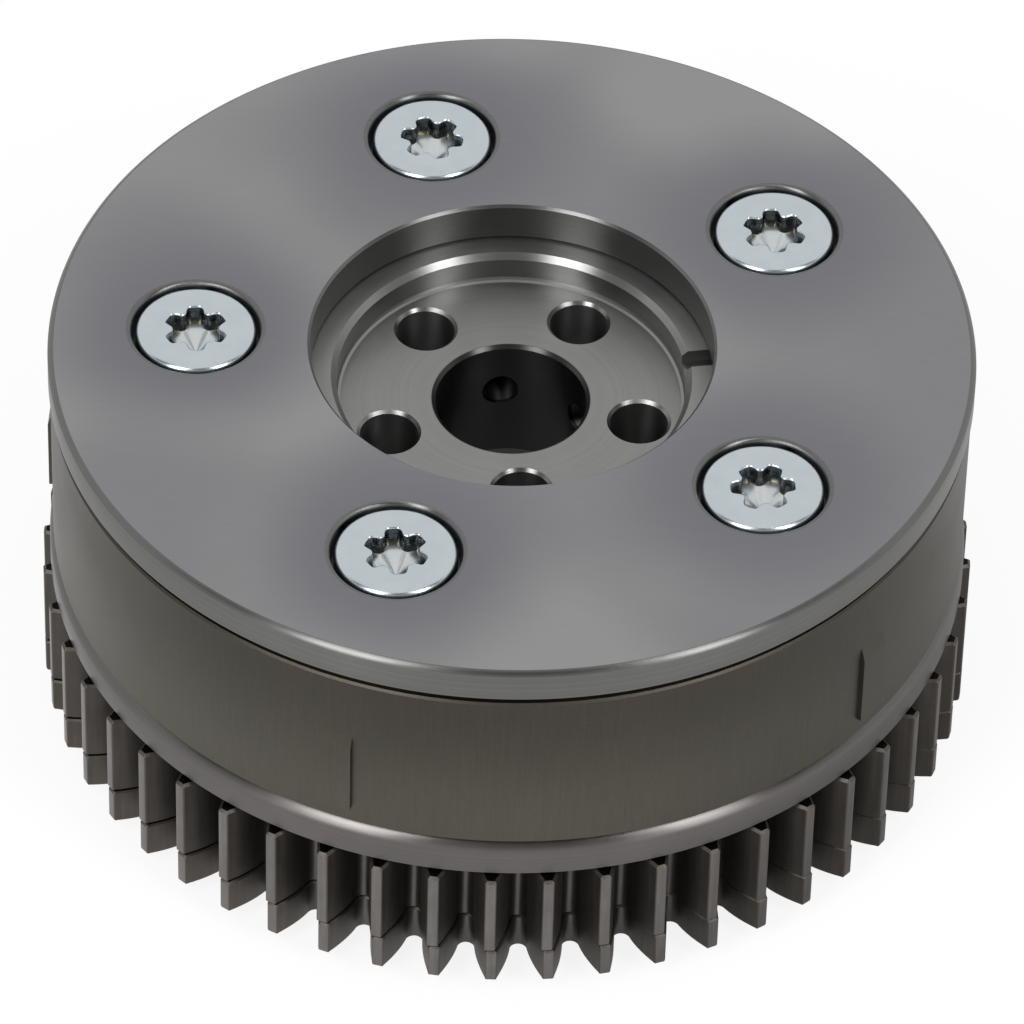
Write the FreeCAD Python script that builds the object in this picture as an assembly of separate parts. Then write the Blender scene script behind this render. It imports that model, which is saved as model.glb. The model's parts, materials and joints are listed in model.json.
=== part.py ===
import FreeCAD, Part
import math
import os
from FreeCAD import Vector

# Cam phaser with five vanes and a split anti-backlash gear, in millimetres.
# The axis is Z. The hub end that the part stands on is at Z = 0, and the cover faces +Z.
os.makedirs("parts", exist_ok=True)

# Driving dimensions, by piece. Angles are in degrees, anticlockwise from +X.
# Gear teeth. Their count follows: the tips stand out of the flange by about the tip step
module = 2.0
tipStep = 0.9
pressureAngle = 20.0
addendum = 2.1
dedendum = 3.55
rootRound = 1.05
toothThinning = 0.3
gearPhase = -90.8
mainGearWidth = 11.4
subGearThickness = 4.8
subGearShift = 0.24
subCorner = 0.2
gearSeam = 0.1
# Drive gear
hubStub = 2.4
hubRadius = 30.0
journalRadius = 19.0
reliefRadius = 23.0
reliefDepth = 5.0
cutterGroove = 0.9
cutterGrooveDepth = 0.5
flangeThickness = 4.3
flangeOverhang = 0.4
flangeChamfer = 1.2
# Split gear parts
springHeight = 3.6
springWidth = 4.4
springClearance = 0.9
springAngle = 90.0
pinRadius = 2.0
pinSpread = 7.0
pinSeat = 5.0
subGearPlay = 1.0
webRecess = 0.9
webRim = 4.85
snapRingThickness = 1.2
snapRingWidth = 3.3
snapRingStub = 0.95
washerWidth = 3.25
washerThickness = 0.35
# Housing
chamberRadius = 46.0
housingWall = 6.8
housingHeight = 22.2
housingEdge = 0.25
lobeCount = 5
lobePhase = 34.1
lobeHalfAngle = 16.0
ribWidth = 3.8
ribProud = 0.5
ribTurn = -0.5
ribFoot = 2.4
ribDrop = 6.8
ribFade = 3.5
dowelRadius = 2.0
dowelLength = 9.6
# Cover
coverOverhang = 0.2
coverThickness = 5.0
coverTopEdge = 0.5
seamHeight = 0.95
seamDepth = 1.0
coverLap = 1.9
coverBoreChamfer = 0.3
# Cover screws, a little outside the middle of the oil chambers
screwOutset = 0.7
screwHeadRadius = 6.95
screwHeadHeight = 3.4
screwHeadRound = 0.8
screwShankRadius = 4.0
screwTapRadius = 3.45
screwSunk = 0.1
counterboreGap = 0.45
counterboreLip = 0.6
socketAcross = 7.2
socketValley = 5.2
socketLobeHalf = 17.0
socketDepth = 2.7
# How far each screw's six-lobe socket happens to be turned
socketTurns = [37.0, 50.0, 34.0, 37.0, 6.0]
# Rotor
rotorHubRadius = 25.0
vaneHalfAngle = 8.5
restGap = 0.1
rimWidth = 4.29
rimChamfer = 0.66
recessDepth = 3.75
recessRound = 0.45
centralBoreRadius = 8.7
centralBoreChamfer = 0.4
pilotRadius = 18.5
pilotDepth = 2.0
boltCircle = 15.1
boltHoleRadius = 3.35
boltHoleChamfer = 0.35
boltPhase = 59.7
oilPortRadius = 2.1
oilPortPhase = 28.5
oilPortDepth = 10.56
portVaneOffset = 12.0
rearGrooveWidth = 3.6
rearGrooveDepth = 1.6
ventWidth = 2.6
ventDepth = 1.6
# Tip seals and their leaf springs
sealWidth = 2.0
sealHeight = 2.5
leafThickness = 0.2
leafBow = 0.75
leafLength = 18.0
# Lock pin, a little inside the middle of the oil chambers
lockPinInset = 1.0
lockPinRadius = 3.3
lockPinLength = 17.0
lockPinWall = 0.9
lockPinFloor = 3.0
lockPinLift = 0.1
lockPinNose = 0.8
lockCapThickness = 1.2
lockSpringWire = 0.35
lockSpringTurns = 5
lockBushRadius = 5.5
lockBushHeight = 4.0
# Clearances
runningGap = 0.04
slidingGap = 0.03
seatGap = 0.02
screwClearance = 0.5
tapClearance = 0.05

# Sizes that follow from them
bodyRadius = chamberRadius + housingWall
coverRadius = bodyRadius + coverOverhang
flangeRadius = bodyRadius + flangeOverhang
toothCount = round(2 * (flangeRadius + tipStep - addendum) / module)
pitchRadius = module * toothCount / 2
tipRadius = pitchRadius + addendum
rootRadius = pitchRadius - dedendum
chamberMiddle = (rotorHubRadius + chamberRadius) / 2
screwCircle = chamberMiddle + screwOutset
lockPinCircle = chamberMiddle - lockPinInset
coverBoreRadius = rotorHubRadius - coverLap

subBottom = hubStub
subTop = subBottom + subGearThickness
mainBottom = subTop + gearSeam
mainTop = mainBottom + mainGearWidth
flangeBottom = mainTop + cutterGroove
plateTop = flangeBottom + flangeThickness
coverBottom = plateTop + housingHeight
coverTop = coverBottom + coverThickness

springMiddle = (hubRadius + rootRadius) / 2
springBottom = mainBottom + 0.3
springTop = springBottom + springHeight
springGrooveTop = springTop + 0.4
springGrooveHalf = springWidth / 2 + springClearance
springEndHalf = pinSpread + math.degrees((pinRadius + seatGap) / springMiddle)
webBottom = subBottom + webRecess
webRadius = rootRadius - webRim
snapRingLow = snapRingStub
snapRingHigh = snapRingLow + snapRingThickness

lobePitch = 360.0 / lobeCount
# At rest the anticlockwise face of each vane stands against a lobe, one small gap away
vanePhase = lobePhase - lobeHalfAngle - vaneHalfAngle - restGap
rotorLow = plateTop + runningGap
rotorHigh = coverBottom - runningGap
vaneTip = chamberRadius - runningGap
rimRadius = rotorHubRadius - rimWidth
recessRadius = rimRadius - rimChamfer
recessFloor = rotorHigh - recessDepth
sealSlot = sealHeight + leafBow + leafThickness + 0.15

screwHeadTop = coverTop - screwSunk
screwHeadSeat = screwHeadTop - screwHeadHeight
screwHoleEnd = springGrooveTop + 1.0
counterboreRadius = screwHeadRadius + counterboreGap
lockBoreRadius = lockPinRadius + slidingGap
lockCapTop = rotorHigh - ventDepth


def around(radius, degrees, z=0.0):
    angle = math.radians(degrees)
    return Vector(radius * math.cos(angle), radius * math.sin(angle), z)


def rod(radius, low, high, centre=Vector(0, 0, 0)):
    return Part.makeCylinder(radius, high - low, Vector(centre.x, centre.y, low))


def cone(lowRadius, highRadius, low, high, centre=Vector(0, 0, 0)):
    return Part.makeCone(lowRadius, highRadius, high - low, Vector(centre.x, centre.y, low))


def ring(outer, inner, low, high):
    return rod(outer, low, high).cut(rod(inner, low, high))


def turned(profile):
    # A closed outline of (radius, height) points, revolved about the axis
    points = [Vector(r, 0, z) for r, z in profile]
    face = Part.Face(Part.makePolygon(points + [points[0]]))
    return face.revolve(Vector(0, 0, 0), Vector(0, 0, 1), 360)


def spun(shape, degrees):
    copy = shape.copy()
    copy.rotate(Vector(0, 0, 0), Vector(0, 0, 1), degrees)
    return copy


def sector(outer, inner, low, high, middle, halfAngle):
    # A block between two radii and two radial faces
    corners = [
        around(inner, middle - halfAngle, low),
        around(outer, middle - halfAngle, low),
        around(outer, middle + halfAngle, low),
        around(inner, middle + halfAngle, low),
    ]
    edges = [
        Part.makeLine(corners[0], corners[1]),
        Part.Arc(corners[1], around(outer, middle, low), corners[2]).toShape(),
        Part.makeLine(corners[2], corners[3]),
        Part.Arc(corners[3], around(inner, middle, low), corners[0]).toShape(),
    ]
    return Part.Face(Part.Wire(edges)).extrude(Vector(0, 0, high - low))


def block(start, length, width, low, high, degrees):
    # A straight-sided block that runs outward from a start radius
    shape = Part.makeBox(length, width, high - low, Vector(start, -width / 2, low))
    return spun(shape, degrees)


def save(shape, name):
    shape.exportStep("parts/" + name + ".step")


def perLobe(phase):
    return [phase + lobePitch * k for k in range(lobeCount)]


# Gear teeth

def involute(angle):
    return math.tan(angle) - angle


def halfToothAngle(radius):
    # Half the tooth's angle at a radius, from its thickness on the pitch circle
    pressure = math.radians(pressureAngle)
    baseRadius = pitchRadius * math.cos(pressure)
    atPitch = (math.pi * module / 2 - toothThinning) / pitchRadius / 2
    flank = math.acos(min(1.0, baseRadius / radius))
    return math.degrees(atPitch + involute(pressure) - involute(flank))


def toothedDisc(low, high, phase):
    # Each flank is the arc through three points of the involute, and each root is one full round
    flankLow = rootRadius + rootRound
    flankMiddle = (flankLow + tipRadius) / 2
    pitch = 360.0 / toothCount
    edges = []
    for tooth in range(toothCount):
        middle = phase + pitch * tooth
        rise = [around(r, middle - halfToothAngle(r), low) for r in (flankLow, flankMiddle, tipRadius)]
        fall = [around(r, middle + halfToothAngle(r), low) for r in (tipRadius, flankMiddle, flankLow)]
        root = around(rootRadius, middle + pitch / 2, low)
        following = around(flankLow, middle + pitch - halfToothAngle(flankLow), low)
        edges.append(Part.Arc(*rise).toShape())
        edges.append(Part.makeLine(rise[2], fall[0]))
        edges.append(Part.Arc(*fall).toShape())
        edges.append(Part.Arc(fall[2], root, following).toShape())
    return Part.Face(Part.Wire(edges)).extrude(Vector(0, 0, high - low))


def mainPinPlace():
    return around(springMiddle, springAngle + pinSpread)


def subPinPlace():
    return around(springMiddle, springAngle - pinSpread)


def dowelPlace():
    return around((chamberRadius + screwCircle) / 2, lobePhase + lobeHalfAngle / 2)


def lockPlace():
    return around(lockPinCircle, vanePhase)


# Drive gear: rear plate, flange, main gear and hub in one piece

def driveGear():
    hubEdge = 0.8
    flangeLowEdge = 0.25
    neck = rootRadius - cutterGrooveDepth
    body = turned([
        (0, 0), (hubRadius - hubEdge, 0), (hubRadius, hubEdge), (hubRadius, mainBottom + hubEdge),
        (neck, mainBottom + hubEdge), (neck, flangeBottom), (flangeRadius - flangeLowEdge, flangeBottom),
        (flangeRadius, flangeBottom + flangeLowEdge), (flangeRadius, plateTop - flangeChamfer),
        (flangeRadius - flangeChamfer, plateTop), (0, plateTop),
    ]).fuse(toothedDisc(mainBottom, mainTop, gearPhase))
    springGroove = ring(springMiddle + springGrooveHalf, springMiddle - springGrooveHalf,
                        mainBottom - 1, springGrooveTop)
    body = body.cut(springGroove)
    # Camshaft journal bore with a lead-in, and a wider relief behind it
    body = body.cut(turned([
        (0, -1), (reliefRadius + hubEdge, -1), (reliefRadius + hubEdge, 0), (reliefRadius, hubEdge),
        (reliefRadius, reliefDepth), (journalRadius + hubEdge, reliefDepth),
        (journalRadius, reliefDepth + hubEdge), (journalRadius, plateTop + 1), (0, plateTop + 1),
    ]))
    body = body.cut(ring(hubRadius + 1, hubRadius + washerWidth / 2 - snapRingWidth + 0.1,
                         snapRingLow - runningGap, snapRingHigh + runningGap))
    tapLead = 0.6
    for angle in perLobe(lobePhase):
        place = around(screwCircle, angle)
        body = body.cut(rod(screwTapRadius, screwHoleEnd, plateTop + 1, place))
        body = body.cut(cone(screwTapRadius, screwTapRadius + tapLead, plateTop - tapLead, plateTop, place))
    body = body.cut(rod(lockBushRadius, plateTop - lockBushHeight, plateTop + 1, lockPlace()))
    body = body.cut(rod(pinRadius, springGrooveTop - 1, springGrooveTop + pinSeat, mainPinPlace()))
    body = body.cut(rod(dowelRadius, plateTop - dowelLength / 2, plateTop + 1, dowelPlace()))
    return body


save(driveGear(), "drive_gear")


# Sub gear: thin toothed ring that turns on the hub of the drive gear

def subGear():
    body = toothedDisc(subBottom, subTop, gearPhase + subGearShift).common(turned([
        (0, subBottom), (tipRadius - subCorner, subBottom), (tipRadius + seatGap, subBottom + subCorner),
        (tipRadius + seatGap, subTop), (0, subTop),
    ]))
    body = body.cut(rod(hubRadius + runningGap, subBottom - 1, subTop + 1))
    body = body.cut(rod(webRadius, subBottom - 1, webBottom))
    body = body.cut(rod(pinRadius, subBottom - 1, subTop + 1, subPinPlace()))
    # The main gear's pin reaches into this slot: it stands at one end, and the play is on the other side
    slotHalf = math.degrees((pinRadius + runningGap) / springMiddle) + subGearPlay / 2
    slotSide = pinRadius + 0.2
    return body.cut(sector(springMiddle + slotSide, springMiddle - slotSide, subBottom - 1, subTop + 1,
                           springAngle + pinSpread + subGearPlay / 2, slotHalf))


save(subGear(), "sub_gear")


# Pins, open ring spring, wave washer and snap ring of the split gear

def pin(radius, low, high, place, edge):
    body = rod(radius, low, high, place)
    return body.makeChamfer(edge, [body.Edges[0], body.Edges[2]])


def openRing(outer, inner, low, high, middle, gapHalf):
    # A flat ring with a gap centred on one angle
    sweep = 360.0 - 2 * gapHalf
    whole = Part.makeCylinder(outer, high - low, Vector(0, 0, low), Vector(0, 0, 1), sweep)
    return spun(whole.cut(rod(inner, low - 1, high + 1)), middle + gapHalf)


def waveWasher():
    # Three waves, between four surfaces ruled from wavy edges
    inner = hubRadius + 0.35
    outer = inner + washerWidth
    low = snapRingHigh + slidingGap
    swing = (webBottom - slidingGap - low - washerThickness) / 2
    waves = 3
    steps = 8 * waves

    def edge(radius, lift):
        points = []
        for step in range(steps):
            turn = 360.0 * step / steps
            wave = swing * math.cos(math.radians(waves * turn))
            points.append(around(radius, turn, low + swing + lift + wave))
        curve = Part.BSplineCurve()
        curve.interpolate(Points=points, PeriodicFlag=True)
        return curve.toShape()

    corners = [edge(inner, 0), edge(outer, 0), edge(outer, washerThickness), edge(inner, washerThickness)]
    sides = [Part.makeRuledSurface(corners[k], corners[(k + 1) % 4]) for k in range(4)]
    shell = Part.makeShell([face for side in sides for face in side.Faces])
    shell.sewShape()
    return Part.makeSolid(shell)


def snapRing():
    outer = hubRadius + washerWidth / 2
    inner = outer - snapRingWidth
    opening = 9.0
    lugTurn = 12.0
    lugRadius = 2.2
    lugHole = 1.1
    body = openRing(outer, inner + 0.2, snapRingLow, snapRingHigh, -springAngle, opening)
    for side in (-1, 1):
        place = around(hubRadius + washerWidth / 2, -springAngle + side * lugTurn)
        body = body.fuse(rod(lugRadius, snapRingLow, snapRingHigh, place))
        body = body.cut(rod(lugHole, snapRingLow, snapRingHigh, place))
    return body


pinEdge = 0.3
save(pin(pinRadius, webBottom + pinEdge, springGrooveTop + pinSeat, mainPinPlace(), pinEdge),
     "main_gear_pin")
save(pin(pinRadius, webBottom, springTop, subPinPlace(), pinEdge), "sub_gear_pin")
save(openRing(springMiddle + springWidth / 2, springMiddle - springWidth / 2, springBottom, springTop,
              springAngle, springEndHalf), "scissor_spring")
save(waveWasher(), "wave_washer")
save(snapRing(), "snap_ring")


# Housing: five lobes inside, five short ribs outside

def rib(degrees):
    # Its top runs out into the wall, its foot ends square
    ribRoot = 4.0
    outer = bodyRadius + ribProud
    top = coverBottom - ribDrop
    low = plateTop + ribFoot
    profile = [(outer - ribRoot, low), (outer, low), (outer, top - ribFade),
               (bodyRadius - ribProud, top), (outer - ribRoot, top)]
    corners = [Vector(r, -ribWidth / 2, z) for r, z in profile]
    face = Part.Face(Part.makePolygon(corners + [corners[0]]))
    return spun(face.extrude(Vector(0, ribWidth, 0)), degrees)


def housing():
    lowEdge = 0.3
    body = turned([
        (0, plateTop), (bodyRadius - lowEdge, plateTop), (bodyRadius, plateTop + lowEdge),
        (bodyRadius, coverBottom - housingEdge), (bodyRadius - housingEdge, coverBottom), (0, coverBottom),
    ])
    for angle in perLobe(lobePhase + ribTurn):
        body = body.fuse(rib(angle))
    low = plateTop - 1
    high = coverBottom + 1
    hollow = rod(rotorHubRadius + runningGap, low, high)
    for angle in perLobe(lobePhase + lobePitch / 2):
        hollow = hollow.fuse(sector(chamberRadius, rotorHubRadius - 2, low, high, angle,
                                    lobePitch / 2 - lobeHalfAngle))
    body = body.cut(hollow)
    for angle in perLobe(lobePhase):
        body = body.cut(rod(screwShankRadius + screwClearance, low, high, around(screwCircle, angle)))
        body = body.cut(block(rotorHubRadius - 2, sealSlot + 2, sealWidth + 2 * seatGap, low, high, angle))
    return body.cut(rod(dowelRadius, low, plateTop + dowelLength / 2, dowelPlace()))


save(housing(), "housing")
save(pin(dowelRadius, plateTop - dowelLength / 2, plateTop + dowelLength / 2, dowelPlace(), pinEdge),
     "housing_dowel")


# Front cover with counterbored screw holes

def frontCover():
    boreMouth = coverBoreRadius + coverBoreChamfer
    body = turned([
        (boreMouth, coverBottom), (coverRadius - seamDepth, coverBottom),
        (coverRadius - seamDepth, coverBottom + seamHeight), (coverRadius, coverBottom + seamHeight),
        (coverRadius, coverTop - coverTopEdge),
        (coverRadius - 0.3 * coverTopEdge, coverTop - 0.3 * coverTopEdge),
        (coverRadius - coverTopEdge, coverTop), (boreMouth, coverTop),
        (coverBoreRadius, coverTop - coverBoreChamfer),
        (coverBoreRadius, coverBottom + coverBoreChamfer),
    ])
    mouth = counterboreRadius + counterboreLip
    for angle in perLobe(lobePhase):
        place = around(screwCircle, angle)
        body = body.cut(rod(counterboreRadius, screwHeadSeat, coverTop + 1, place))
        body = body.cut(cone(counterboreRadius, mouth, coverTop - counterboreLip, coverTop, place))
        body = body.cut(rod(screwShankRadius + screwClearance, coverBottom - 1, coverTop, place))
    return body


save(frontCover(), "front_cover")


# Cover screws: low heads with a six-lobe socket

def sixLobe(low, high):
    tip = socketAcross / 2
    valley = socketValley / 2
    shoulder = (tip + valley) / 2
    step = 60
    edges = []
    for middle in range(0, 360, step):
        start = around(shoulder, middle - socketLobeHalf, low)
        end = around(shoulder, middle + socketLobeHalf, low)
        following = around(shoulder, middle + step - socketLobeHalf, low)
        edges.append(Part.Arc(start, around(tip, middle, low), end).toShape())
        edges.append(Part.Arc(end, around(valley, middle + step / 2, low), following).toShape())
    return Part.Face(Part.Wire(edges)).extrude(Vector(0, 0, high - low))


def coverScrew(turn):
    end = screwHoleEnd + 1.2
    point = 0.7
    threadRadius = screwTapRadius - tapClearance
    shoulder = plateTop + 0.1
    body = turned([
        (0, end), (threadRadius - point, end), (threadRadius, end + point),
        (threadRadius, shoulder - 0.6), (screwShankRadius, shoulder), (screwShankRadius, screwHeadSeat),
        (screwHeadRadius - 0.35, screwHeadSeat), (screwHeadRadius, screwHeadSeat + 0.35),
        (screwHeadRadius, screwHeadTop - screwHeadRound),
        (screwHeadRadius - 0.3 * screwHeadRound, screwHeadTop - 0.3 * screwHeadRound),
        (screwHeadRadius - screwHeadRound, screwHeadTop), (0, screwHeadTop),
    ])
    return spun(body.cut(sixLobe(screwHeadTop - socketDepth, screwHeadTop + 1)), turn)


for number, angle in enumerate(perLobe(lobePhase)):
    screw = coverScrew(socketTurns[number % len(socketTurns)])
    screw.translate(around(screwCircle, angle))
    save(screw, "cover_screw_%d" % (number + 1))


# Rotor: hub, five vanes, recess for the bolt heads and oil passages

def passage(startAngle, endAngle, height):
    start = around(centralBoreRadius - 2, startAngle, height)
    run = around(rotorHubRadius + 1, endAngle, height) - start
    return Part.makeCylinder(oilPortRadius, run.Length, start, run)


def rotor():
    body = turned([
        (centralBoreRadius, rotorLow), (rotorHubRadius, rotorLow), (rotorHubRadius, rotorHigh),
        (rimRadius, rotorHigh), (recessRadius, rotorHigh - rimChamfer),
        (recessRadius, recessFloor + recessRound),
        (recessRadius - 0.3 * recessRound, recessFloor + 0.3 * recessRound),
        (recessRadius - recessRound, recessFloor), (centralBoreRadius + centralBoreChamfer, recessFloor),
        (centralBoreRadius, recessFloor - centralBoreChamfer),
    ])
    low = rotorLow - 1
    high = rotorHigh + 1
    for angle in perLobe(vanePhase):
        body = body.fuse(sector(vaneTip, rotorHubRadius - 2, rotorLow, rotorHigh, angle, vaneHalfAngle))
        body = body.cut(block(vaneTip - sealSlot, sealSlot + 1, sealWidth + 2 * seatGap, low, high, angle))
    for angle in perLobe(boltPhase):
        place = around(boltCircle, angle)
        body = body.cut(rod(boltHoleRadius, low, high, place))
        body = body.cut(cone(boltHoleRadius, boltHoleRadius + boltHoleChamfer,
                             recessFloor - boltHoleChamfer, recessFloor, place))
    # Pilot recess for the camshaft nose
    body = body.cut(rod(pilotRadius, low, rotorLow + pilotDepth))
    # To each vane's two sides: a drilled passage from the bore, and a groove in the rear face from the pilot
    for port, vane in zip(perLobe(oilPortPhase), perLobe(vanePhase)):
        body = body.cut(passage(port, vane + portVaneOffset, rotorHigh - oilPortDepth))
        body = body.cut(block(pilotRadius - 1, rotorHubRadius + 2 - pilotRadius, rearGrooveWidth,
                              low, rotorLow + rearGrooveDepth, vane - portVaneOffset))
    body = body.cut(rod(lockBoreRadius, low, high, lockPlace()))
    # Vent groove in the front face, from the lock pin's bore to the recess
    start = recessRadius - 1
    return body.cut(block(start, lockPinCircle - start, ventWidth, rotorHigh - ventDepth, high, vanePhase))


save(rotor(), "rotor")


# Tip seals in the vanes and in the housing lobes, each on a thin bowed spring

def leafSpring(start, bow):
    # A strip along Z whose middle bows along X
    points = [Vector(0, 0, -leafLength / 2), Vector(bow, 0, 0), Vector(0, 0, leafLength / 2)]
    back = [Vector(point.x + leafThickness, 0, point.z) for point in reversed(points)]
    edges = [
        Part.Arc(*points).toShape(),
        Part.makeLine(points[2], back[0]),
        Part.Arc(*back).toShape(),
        Part.makeLine(back[2], points[0]),
    ]
    width = sealWidth - 0.3
    strip = Part.Face(Part.Wire(edges)).extrude(Vector(0, width, 0))
    strip.translate(Vector(start, -width / 2, (rotorLow + rotorHigh) / 2))
    return strip


sealLow = rotorLow + slidingGap
sealHigh = rotorHigh - slidingGap
vaneSealFoot = chamberRadius - seatGap - sealHeight
lobeSealFoot = rotorHubRadius + seatGap
for number, angle in enumerate(perLobe(vanePhase)):
    seal = block(vaneSealFoot, sealHeight, sealWidth, sealLow, sealHigh, angle)
    save(seal, "vane_seal_%d" % (number + 1))
    leaf = leafSpring(vaneSealFoot - leafThickness - seatGap - leafBow, leafBow)
    save(spun(leaf, angle), "vane_seal_spring_%d" % (number + 1))
for number, angle in enumerate(perLobe(lobePhase)):
    seal = block(lobeSealFoot, sealHeight, sealWidth, sealLow, sealHigh, angle)
    save(seal, "lobe_seal_%d" % (number + 1))
    leaf = leafSpring(lobeSealFoot + sealHeight + seatGap + leafBow, -leafBow)
    save(spun(leaf, angle), "lobe_seal_spring_%d" % (number + 1))


# Lock pin, held clear of its bush as by oil pressure, with its spring and cap

def lockPin():
    low = rotorLow + lockPinLift
    inside = lockPinRadius - lockPinWall
    edge = 0.1
    body = turned([
        (0, low), (lockPinRadius - lockPinNose, low), (lockPinRadius - edge, low + lockPinNose),
        (lockPinRadius, low + 2 * lockPinNose), (lockPinRadius, low + lockPinLength),
        (inside, low + lockPinLength), (inside, low + lockPinFloor), (0, low + lockPinFloor),
    ])
    body.translate(lockPlace())
    return body


def lockSpring():
    # Six-sided wire, which keeps a hidden coil light
    rest = lockSpringWire + slidingGap
    low = rotorLow + lockPinLift + lockPinFloor + rest
    high = lockCapTop - lockCapThickness - rest
    coil = lockPinRadius - lockPinWall - lockSpringWire - 0.15
    path = Part.makeHelix((high - low) / lockSpringTurns, high - low, coil)
    corners = []
    for side in range(6):
        turn = math.radians(60 * side)
        corners.append(Vector(coil + lockSpringWire * math.cos(turn), 0, lockSpringWire * math.sin(turn)))
    section = Part.makePolygon(corners + [corners[0]])
    body = Part.Wire(path.Edges).makePipeShell([section], True, True)
    body.translate(around(lockPinCircle, vanePhase, low))
    return body


def lockCap():
    vent = 0.9
    seat = rod(lockBoreRadius, lockCapTop - lockCapThickness, lockCapTop, lockPlace())
    return seat.cut(rod(vent, lockCapTop - lockCapThickness, lockCapTop, lockPlace()))


def lockBush():
    bore = lockPinRadius + 0.15
    lead = 0.6
    low = plateTop - lockBushHeight
    high = plateTop - seatGap
    body = rod(lockBushRadius, low, high, lockPlace())
    body = body.cut(rod(bore, low, high, lockPlace()))
    return body.cut(cone(bore, bore + lead, high - lead, high, lockPlace()))


save(lockPin(), "lock_pin")
save(lockSpring(), "lock_pin_spring")
save(lockCap(), "lock_pin_cap")
save(lockBush(), "lock_bush")
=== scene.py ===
import json
import math
import bmesh
import bpy
from mathutils import Matrix, Vector


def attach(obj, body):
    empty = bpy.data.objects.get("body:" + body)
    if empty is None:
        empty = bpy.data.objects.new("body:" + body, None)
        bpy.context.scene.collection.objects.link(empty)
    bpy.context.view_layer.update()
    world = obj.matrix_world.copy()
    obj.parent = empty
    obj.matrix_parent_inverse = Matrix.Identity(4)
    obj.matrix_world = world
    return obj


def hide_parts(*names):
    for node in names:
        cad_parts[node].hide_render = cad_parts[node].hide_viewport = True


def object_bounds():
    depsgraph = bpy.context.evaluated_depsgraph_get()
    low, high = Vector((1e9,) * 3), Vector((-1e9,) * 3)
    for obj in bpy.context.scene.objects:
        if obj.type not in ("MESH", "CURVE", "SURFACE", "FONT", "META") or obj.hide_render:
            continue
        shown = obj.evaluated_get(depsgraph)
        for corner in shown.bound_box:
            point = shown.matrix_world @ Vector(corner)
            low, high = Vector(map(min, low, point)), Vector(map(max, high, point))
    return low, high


# Cam phaser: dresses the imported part, builds the gears, the cover and the screws with their fine
# edges, then adds a pale floor, two softboxes, a dark card and the camera.

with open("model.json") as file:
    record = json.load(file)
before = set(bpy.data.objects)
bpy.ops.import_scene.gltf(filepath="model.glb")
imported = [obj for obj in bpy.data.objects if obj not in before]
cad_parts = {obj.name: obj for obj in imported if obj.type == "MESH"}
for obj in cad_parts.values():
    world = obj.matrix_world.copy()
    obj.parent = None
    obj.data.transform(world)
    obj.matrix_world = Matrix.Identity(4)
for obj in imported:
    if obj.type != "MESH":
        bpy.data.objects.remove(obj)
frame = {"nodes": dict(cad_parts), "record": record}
cadLow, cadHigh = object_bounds()
nodes = frame["nodes"]
mm = 0.001
print("frame loaded:", len(nodes), "nodes")


# small helpers

def linearColour(hexText):
    # sRGB hex to the linear values that the shader wants
    values = [int(hexText[k:k + 2], 16) / 255 for k in (0, 2, 4)]
    return [v / 12.92 if v <= 0.04045 else ((v + 0.055) / 1.055) ** 2.4 for v in values] + [1.0]


def addNode(tree, kind, inputs=None, links=None, **settings):
    node = tree.nodes.new("ShaderNode" + kind)
    for name, value in settings.items():
        setattr(node, name, value)
    for socket, value in (inputs or {}).items():
        node.inputs[socket].default_value = value
    for socket, source in (links or {}).items():
        tree.links.new(source, node.inputs[socket])
    return node


def newMaterial(name):
    made = bpy.data.materials.new(name)
    made.use_nodes = True
    made.node_tree.nodes.clear()
    return made, made.node_tree


def finishMaterial(tree, shader):
    output = addNode(tree, "OutputMaterial")
    tree.links.new(shader.outputs[0], output.inputs["Surface"])


def polar(radius, turn, height):
    return Vector((radius * math.cos(turn), radius * math.sin(turn), height)) * mm


def meshFromRings(name, rings, closed):
    # every ring has the same number of points, so the skin is quads all over
    width = len(rings[0])
    points = [p for ring in rings for p in ring]
    faces = []
    last = len(rings) if closed else len(rings) - 1
    for row in range(last):
        low = row * width
        high = (row + 1) % len(rings) * width
        for column in range(width):
            following = (column + 1) % width
            faces.append((low + column, low + following, high + following, high + column))
    mesh = bpy.data.meshes.new(name)
    mesh.from_pydata(points, [], faces)
    made = bpy.data.objects.new(name, mesh)
    bpy.context.scene.collection.objects.link(made)
    return made


def smoothBy(made, degrees):
    # smooth shading, with edges sharper than this angle kept crisp
    for polygon in made.data.polygons:
        polygon.use_smooth = True
    made.data.set_sharp_from_angle(angle=math.radians(degrees))


def closeEnds(made):
    caps = bmesh.new()
    caps.from_mesh(made.data)
    bmesh.ops.holes_fill(caps, edges=caps.edges)
    bmesh.ops.recalc_face_normals(caps, faces=caps.faces)
    caps.to_mesh(made.data)
    caps.free()


def cutAway(made, cutters):
    # cuts closed helper meshes out of a piece and takes them away again
    for cutter in cutters:
        cut = made.modifiers.new("cut", "BOOLEAN")
        cut.operation = "DIFFERENCE"
        cut.solver = "MANIFOLD"
        cut.object = cutter
    shaped = made.evaluated_get(bpy.context.evaluated_depsgraph_get())
    mesh = bpy.data.meshes.new_from_object(shaped)
    made.modifiers.clear()
    mesh.materials.clear()    # the cut leaves an empty slot behind
    for polygon in mesh.polygons:
        polygon.material_index = 0
    made.data = mesh
    for cutter in cutters:
        bpy.data.objects.remove(cutter)


def turnedRod(profile, circle, degrees, columns=64):
    # a closed turned form that stands on a circle: (radius, height) pairs from the bottom up
    spin = [2 * math.pi * k / columns for k in range(columns)]
    rings = [[polar(radius, t, height) for t in spin] for radius, height in profile]
    made = meshFromRings("cutter", rings, False)
    closeEnds(made)
    made.data.transform(Matrix.Translation(polar(circle, math.radians(degrees), 0)))
    return made


# where the five cover screws sit, and their own sizes

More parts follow.
